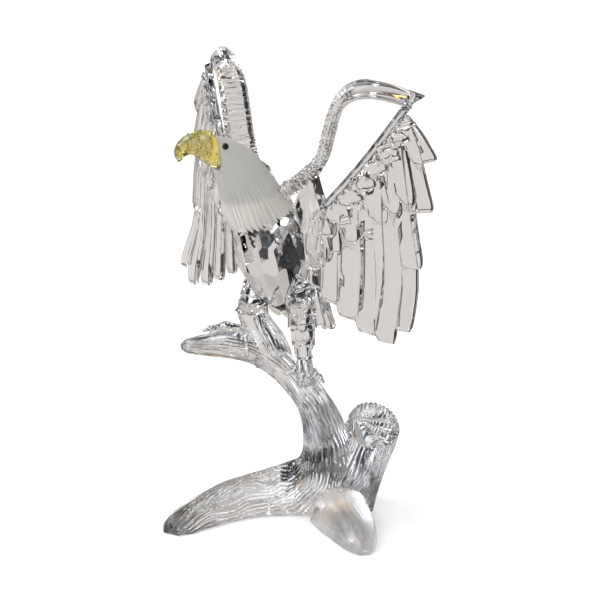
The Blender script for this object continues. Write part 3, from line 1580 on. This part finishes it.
# %% Camera
PICTURE = 600
PIXELS_PER_MM = 3.1
SENSOR_WIDTH = 36.0
CAMERA_TARGET = Vector((0.0057, 0.004272, 0.0761))
CAMERA_DISTANCE = 0.9
CAMERA_AROUND = math.radians(45.0)
CAMERA_UP = math.radians(17.5)

towards_camera = Vector((
    math.sin(CAMERA_AROUND) * math.cos(CAMERA_UP),
    -math.cos(CAMERA_AROUND) * math.cos(CAMERA_UP),
    math.sin(CAMERA_UP),
))
camera = bpy.data.objects.new("camera", bpy.data.cameras.new("camera"))
bpy.context.scene.collection.objects.link(camera)
camera.data.sensor_width = SENSOR_WIDTH
camera.data.lens = PIXELS_PER_MM * CAMERA_DISTANCE * 1000 * camera.data.sensor_width / PICTURE
camera.location = CAMERA_TARGET + towards_camera * CAMERA_DISTANCE
camera.rotation_euler = towards_camera.to_track_quat("Z", "Y").to_euler()
bpy.context.scene.camera = camera
print("lens:", round(camera.data.lens, 1), "mm")

# %% [markdown]
# Masks by direction
#
# Glass shows nothing but its surroundings, so they are the most of its finish. A real studio puts
# white panels where the glass should sparkle and dark cloth where its edges should turn dark.
# Here such cards are masks, 1 on the card and 0 off it. Two kinds are worked out from a
# direction: a round card in the sky, and a slice of the compass as seen from above.

# %% Masks by direction


def cone(tree, unit, aim, half, soft):
    """1 where a unit vector points within half of an aim, in degrees, with a soft edge."""
    near = add_node(tree, "ShaderNodeVectorMath", DOT, i0=unit, i1=aim)
    return add_node(
        tree, "ShaderNodeMapRange", SOFT_STEP, Value=near.outputs["Value"],
        From_Min=math.cos(math.radians(half + soft)), From_Max=math.cos(math.radians(half)),
    ).outputs[0]


def fan(tree, vector, middle, half, soft):
    """1 where a vector points within half of a compass direction, in degrees seen from above."""
    level = add_node(tree, "ShaderNodeVectorMath", TIMES, i0=vector, i1=(1, 1, 0))
    unit = add_node(tree, "ShaderNodeVectorMath", {"operation": "NORMALIZE"}, i0=level.outputs[0])
    angle = math.radians(middle)
    return cone(tree, unit.outputs[0], (math.cos(angle), math.sin(angle), 0.0), half, soft)


print("masks by direction:", cone.__name__, "and", fan.__name__)

# %% [markdown]
# Masks on the floor
#
# Two more kinds are drawn on the floor: all that lies outside a circle, and the cloth between
# dark spokes that run out from the middle. A third function cuts one mask out of another.

# %% Masks on the floor


def ring(tree, vector, inner, outer):
    """0 inside a circle on the floor, 1 outside a wider one, in metres."""
    away = add_node(tree, "ShaderNodeVectorMath", {"operation": "LENGTH"}, i0=vector)
    return add_node(
        tree, "ShaderNodeMapRange", SOFT_STEP, Value=away.outputs["Value"],
        From_Min=inner, From_Max=outer,
    ).outputs[0]


def spokes(tree, vector, count, edge):
    """1 between dark spokes on the floor, 0 on a spoke."""
    split = add_node(tree, "ShaderNodeSeparateXYZ", Vector=vector)
    angle = add_node(
        tree, "ShaderNodeMath", {"operation": "ARCTAN2"}, i0=split.outputs["Y"], i1=split.outputs["X"],
    )
    turns = add_node(tree, "ShaderNodeMath", TIMES, i0=angle.outputs[0], i1=float(count))
    wave = add_node(tree, "ShaderNodeMath", {"operation": "COSINE"}, i0=turns.outputs[0])
    return add_node(
        tree, "ShaderNodeMapRange", SOFT_STEP, Value=wave.outputs[0],
        From_Min=edge - 0.2, From_Max=edge + 0.2,
    ).outputs[0]


def without(tree, a, b):
    """a where b is 0."""
    rest = add_node(tree, "ShaderNodeMath", MINUS, i0=1.0, i1=b)
    return add_node(tree, "ShaderNodeMath", TIMES, i0=a, i1=rest.outputs[0]).outputs[0]


print("masks on the floor:", ring.__name__, "and", spokes.__name__)

# %% [markdown]
# Plain to the camera
#
# A photographer keeps the cards out of the picture. Here the kind of ray does it: the camera and
# matt surfaces get one plain colour, and only the light that glass bends or mirrors meets the
# cards.

# %% Plain to the camera


def plain_to_camera(tree, colour, plain_colour):
    """A plain colour to the camera and to matt surfaces, and the cards to glass."""
    ray = add_node(tree, "ShaderNodeLightPath")
    plain = add_node(
        tree, "ShaderNodeMath", LARGER,
        i0=ray.outputs["Is Camera Ray"], i1=ray.outputs["Is Diffuse Ray"],
    )
    return add_node(
        tree, "ShaderNodeMix", COLOUR_MIX, i0=plain.outputs[0], i6=colour, i7=linear(plain_colour),
    ).outputs[2]


print("plain colours for the floor and the sky:", plain_to_camera.__name__)

# %% [markdown]
# Floor
#
# The figurine stands on a plain pale floor, which is matt and wide enough that its edge is never
# seen. It lies a hair under the figurine's foot, so that glass and floor don't share a surface.

# %% Floor
FLOOR_HALF = 6.0
FLOOR_HEIGHT = -0.0003
corners = ((-1, -1), (1, -1), (1, 1), (-1, 1))
floor_mesh = bpy.data.meshes.new("floor")
floor_mesh.from_pydata(
    [(x * FLOOR_HALF, y * FLOOR_HALF, FLOOR_HEIGHT) for x, y in corners], [], [(0, 1, 2, 3)],
)
floor = bpy.data.objects.new("floor", floor_mesh)
bpy.context.scene.collection.objects.link(floor)
floor_finish = bpy.data.materials.new("pale studio floor")
floor_finish.use_nodes = True
tree = floor_finish.node_tree
shader = tree.nodes["Principled BSDF"]
shader.inputs["Roughness"].default_value = 0.9
shader.inputs["Specular IOR Level"].default_value = 0.0
floor.data.materials.append(floor_finish)
print("floor:", 2 * FLOOR_HALF, "m wide")

# %% [markdown]
# Cards on the floor
#
# The plain floor is all that the camera sees. To the glass the floor is a white cloth with thin
# dark spokes. Each string of the driftwood bends a spoke into a dark line, which gives the grain
# its contrast. Right under the roots the cloth is plain. Further out lie the pale table, two dark
# cards and a greyer floor in front.

# %% Cards on the floor
SEEN_FLOOR = "#fafafa"
PALE_FLOOR = "#c6c2bf"
GREY_FLOOR = "#7a7877"
WHITE_CARD = "#f6f8fb"
DARK_CARD = "#1d1f23"
SPOKES = 11
# Directions seen from above: middle, half and softness, in degrees
BEHIND = (135.0, 80.0, 15.0)
LEFT_ROOT_LIES = (200.0, 62.0, 6.0)
RIGHT_ROOT_LIES = (0.0, 34.0, 6.0)
SIDE_CARD = (156.5, 11.5, 1.5)
FAR_CARD = (130.0, 20.0, 3.0)

place = add_node(tree, "ShaderNodeTexCoord").outputs["Object"]
off_cloth = ring(tree, place, 0.14, 0.18)
under_roots = add_node(
    tree, "ShaderNodeMath", LARGER,
    i0=fan(tree, place, *LEFT_ROOT_LIES), i1=fan(tree, place, *RIGHT_ROOT_LIES),
).outputs[0]
under_roots = without(tree, under_roots, ring(tree, place, 0.05, 0.06))
striped = add_node(tree, "ShaderNodeMath", LARGER, i0=off_cloth, i1=spokes(tree, place, SPOKES, 0.2))
near = add_node(tree, "ShaderNodeMath", LARGER, i0=under_roots, i1=striped.outputs[0])
side_card = add_node(
    tree, "ShaderNodeMath", TIMES, i0=fan(tree, place, *SIDE_CARD), i1=ring(tree, place, 0.1, 0.13),
)
strip = without(tree, ring(tree, place, 0.62, 0.65), ring(tree, place, 0.77, 0.8))
far_card = add_node(tree, "ShaderNodeMath", TIMES, i0=fan(tree, place, *FAR_CARD), i1=strip)
card = add_node(tree, "ShaderNodeMath", LARGER, i0=side_card.outputs[0], i1=far_card.outputs[0])
pale = without(tree, near.outputs[0], card.outputs[0])
table = add_node(
    tree, "ShaderNodeMix", COLOUR_MIX,
    i0=fan(tree, place, *BEHIND), i6=linear(GREY_FLOOR), i7=linear(PALE_FLOOR),
)
light_floor = add_node(
    tree, "ShaderNodeMix", COLOUR_MIX, i0=off_cloth, i6=linear(WHITE_CARD), i7=table.outputs[2],
)
glass_floor = add_node(
    tree, "ShaderNodeMix", COLOUR_MIX, i0=pale, i6=linear(DARK_CARD), i7=light_floor.outputs[2],
)
tree.links.new(plain_to_camera(tree, glass_floor.outputs[2], SEEN_FLOOR), shader.inputs["Base Color"])
print("cards on the floor:", len(tree.nodes), "nodes")

# %% [markdown]
# Sky
#
# The sky is a round room, worked out by direction alone. Behind the figurine hangs a pale
# backdrop with a dark band, and a white one above it, which the flat panes mirror. The rest of
# the room is dim. Small bright panels give the sparks on edges and drops, and one warm panel gives
# the gold patch on the wing's polished bar.

# %% Sky
SEEN_SKY = "#fcfcfc"
# Height of the view, as the sine of its angle above the horizon, and colour
BACKDROP = (
    (0.0, "#cdc8c4"), (0.4, "#cfcac6"), (0.44, "#44484e"), (0.47, "#44484e"), (0.52, "#ffffff"),
    (0.6, "#ffffff"), (0.63, "#cfcac6"), (0.75, "#d4d0cc"), (0.85, "#50545a"),
)
ROOM = ((0.0, "#b5b2b0"), (0.18, "#7c7e80"), (0.5, "#3c4046"))
# Direction, radius and softness in degrees, colour, strength
PANELS = (
    ((-0.25, -0.3, 0.92), 14.0, 6.0, "#ffffff", 3.0),
    ((0.0, -0.8, 0.8), 9.0, 3.0, "#f4f8ff", 3.0),
    ((0.8, 0.0, 0.75), 9.0, 3.0, "#ffffff", 3.0),
    ((0.15, 0.41, 0.9), 6.5, 4.0, "#ffcb78", 3.0),
    ((-0.8, 0.0, 0.75), 9.0, 3.0, "#dfe8f4", 3.0),
    ((0.55, -0.75, 0.35), 4.0, 1.5, "#ffffff", 16.0),
    ((-0.75, 0.45, 0.45), 4.0, 1.5, "#ffffff", 16.0),
    ((0.6, 0.7, 0.4), 3.0, 1.0, "#fff6e8", 12.0),
    ((-0.67, -0.51, 0.53), 7.0, 2.0, "#eef4ff", 14.0),
)

world = bpy.data.worlds.new("studio")
bpy.context.scene.world = world
world.use_nodes = True
tree = world.node_tree
direction = add_node(tree, "ShaderNodeTexCoord").outputs["Generated"]
height = add_node(tree, "ShaderNodeSeparateXYZ", Vector=direction).outputs["Z"]
room, backdrop = [
    add_node(tree, "ShaderNodeValToRGB", {"stops": stops}, Fac=height).outputs["Color"]
    for stops in (ROOM, BACKDROP)
]
light = add_node(
    tree, "ShaderNodeMix", COLOUR_MIX, i0=fan(tree, direction, *BEHIND), i6=room, i7=backdrop,
).outputs[2]
for aim, radius, softness, colour, strength in PANELS:
    mask = cone(tree, direction, Vector(aim).normalized(), radius, softness)
    shade = [strength * channel for channel in linear(colour)[0:3]]
    panel = add_node(tree, "ShaderNodeVectorMath", {"operation": "SCALE"}, i0=shade, Scale=mask)
    light = add_node(
        tree, "ShaderNodeVectorMath", {"operation": "ADD"}, i0=light, i1=panel.outputs[0],
    ).outputs[0]
tree.links.new(plain_to_camera(tree, light, SEEN_SKY), tree.nodes["Background"].inputs["Color"])
print("sky:", len(PANELS), "panels")

# %% [markdown]
# Soft light
#
# A large round lamp to the upper left lights the frosted head and the floor, and gives the pale
# shadow to the right. The plain view transform keeps whites white, as in a catalogue picture.

# %% Soft light from the upper left
lamp = bpy.data.lights.new("soft light", "AREA")
lamp.shape = "DISK"
lamp.size = 0.5
lamp.energy = 3.0
lamp_object = bpy.data.objects.new("soft light", lamp)
bpy.context.scene.collection.objects.link(lamp_object)
lamp_object.location = Vector((-0.5, -0.35, 0.9))
lamp_object.rotation_euler = lamp_object.location.to_track_quat("Z", "Y").to_euler()
bpy.context.scene.view_settings.view_transform = "Standard"
print("lamp:", lamp.size, "m wide,", lamp.energy, "W")
